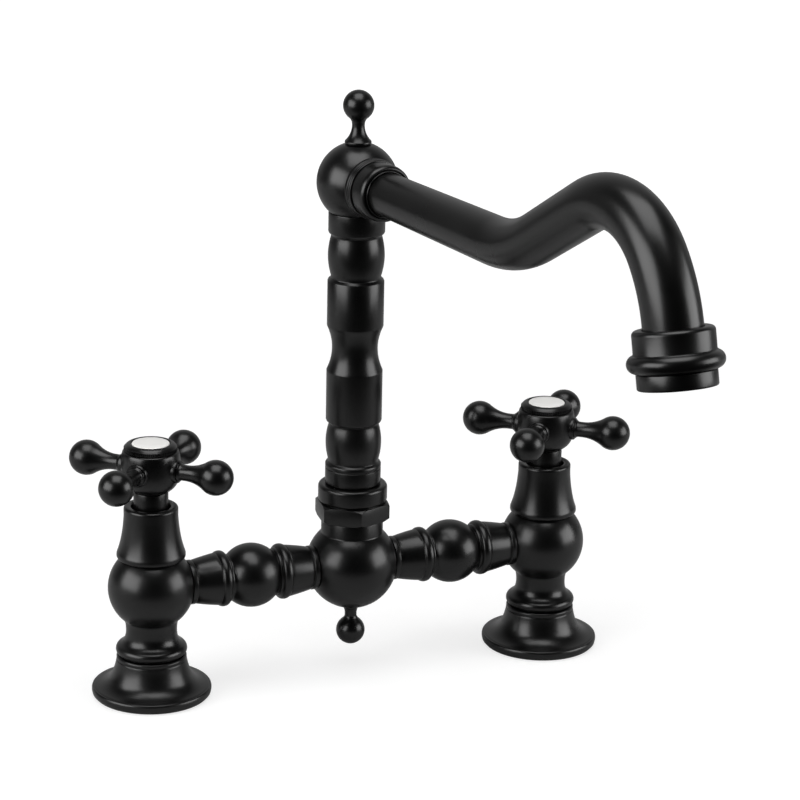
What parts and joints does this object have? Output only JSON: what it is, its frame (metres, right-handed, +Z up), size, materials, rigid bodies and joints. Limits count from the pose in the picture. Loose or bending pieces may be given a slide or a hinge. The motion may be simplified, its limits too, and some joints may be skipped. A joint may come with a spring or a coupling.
{
  "type": "bridge kitchen faucet",
  "caption": "Matt black bridge faucet with flanged legs, turned bridge arms, cross handles with ball-ended spokes and a column that carries a swivelling swan-neck spout.",
  "frame": {"origin": "on the deck, midway between the two legs", "axes": "+X along the bridge from the hot leg to the cold leg, +Y to the rear, +Z up"},
  "size_m": [0.2655, 0.3071, 0.2881],
  "materials": {
    "matt_black": "smooth matt black coating over turned brass",
    "bare_brass": "bare machined brass",
    "white_ceramic": "glazed white ceramic",
    "black_rubber": "matt black seal rubber",
    "stainless": "plain stainless steel",
    "grey_polymer": "grey moulded polymer"
  },
  "bodies": {
    "base": {"hot_base_flange": "matt_black", "hot_base_gasket": "black_rubber", "hot_valve_body": "matt_black", "hot_bonnet": "matt_black", "hot_cartridge_body": "bare_brass", "hot_fixed_disc": "white_ceramic", "hot_seat_seal": "black_rubber", "hot_bridge_arm": "matt_black", "hot_arm_leg_seal": "black_rubber", "hot_arm_centre_seal": "black_rubber", "cold_base_flange": "matt_black", "cold_base_gasket": "black_rubber", "cold_valve_body": "matt_black", "cold_bonnet": "matt_black", "cold_cartridge_body": "bare_brass", "cold_fixed_disc": "white_ceramic", "cold_seat_seal": "black_rubber", "cold_bridge_arm": "matt_black", "cold_arm_leg_seal": "black_rubber", "cold_arm_centre_seal": "black_rubber", "centre_body": "matt_black", "bottom_finial": "matt_black", "spout_nut": "matt_black", "thrust_washer": "grey_polymer"},
    "hot_handle": {"hot_turning_disc": "white_ceramic", "hot_spindle": "bare_brass", "hot_spindle_o_ring": "black_rubber", "hot_spindle_sleeve": "matt_black", "hot_hub": "matt_black", "hot_index_ring": "matt_black", "hot_index_disc": "white_ceramic", "hot_handle_screw": "stainless", "hot_spoke_1": "matt_black", "hot_spoke_2": "matt_black", "hot_spoke_3": "matt_black", "hot_spoke_4": "matt_black"},
    "cold_handle": {"cold_turning_disc": "white_ceramic", "cold_spindle": "bare_brass", "cold_spindle_o_ring": "black_rubber", "cold_spindle_sleeve": "matt_black", "cold_hub": "matt_black", "cold_index_ring": "matt_black", "cold_index_disc": "white_ceramic", "cold_handle_screw": "stainless", "cold_spoke_1": "matt_black", "cold_spoke_2": "matt_black", "cold_spoke_3": "matt_black", "cold_spoke_4": "matt_black"},
    "spout": {"column": "matt_black", "column_o_ring": "black_rubber", "retaining_ring": "stainless", "spout_head": "matt_black", "top_finial": "matt_black", "rear_cap": "matt_black", "union_nut": "matt_black", "spout_tube": "matt_black", "outlet_body": "matt_black", "aerator_housing": "matt_black", "aerator_insert": "grey_polymer", "aerator_washer": "black_rubber"}
  },
  "joints": [
    {"name": "hot_handle_turn", "type": "hinge", "parent": "base", "child": "hot_handle", "pos_m": [-0.1, 0, 0.1122], "axis": [0, 0, 1], "range_deg": [0, 90]},
    {"name": "cold_handle_turn", "type": "hinge", "parent": "base", "child": "cold_handle", "pos_m": [0.1, 0, 0.1122], "axis": [0, 0, 1], "range_deg": [-90, 0]},
    {"name": "spout_swivel", "type": "hinge", "parent": "base", "child": "spout", "pos_m": [0, 0, 0.0946], "axis": [0, 0, 1], "continuous": true}
  ]
}
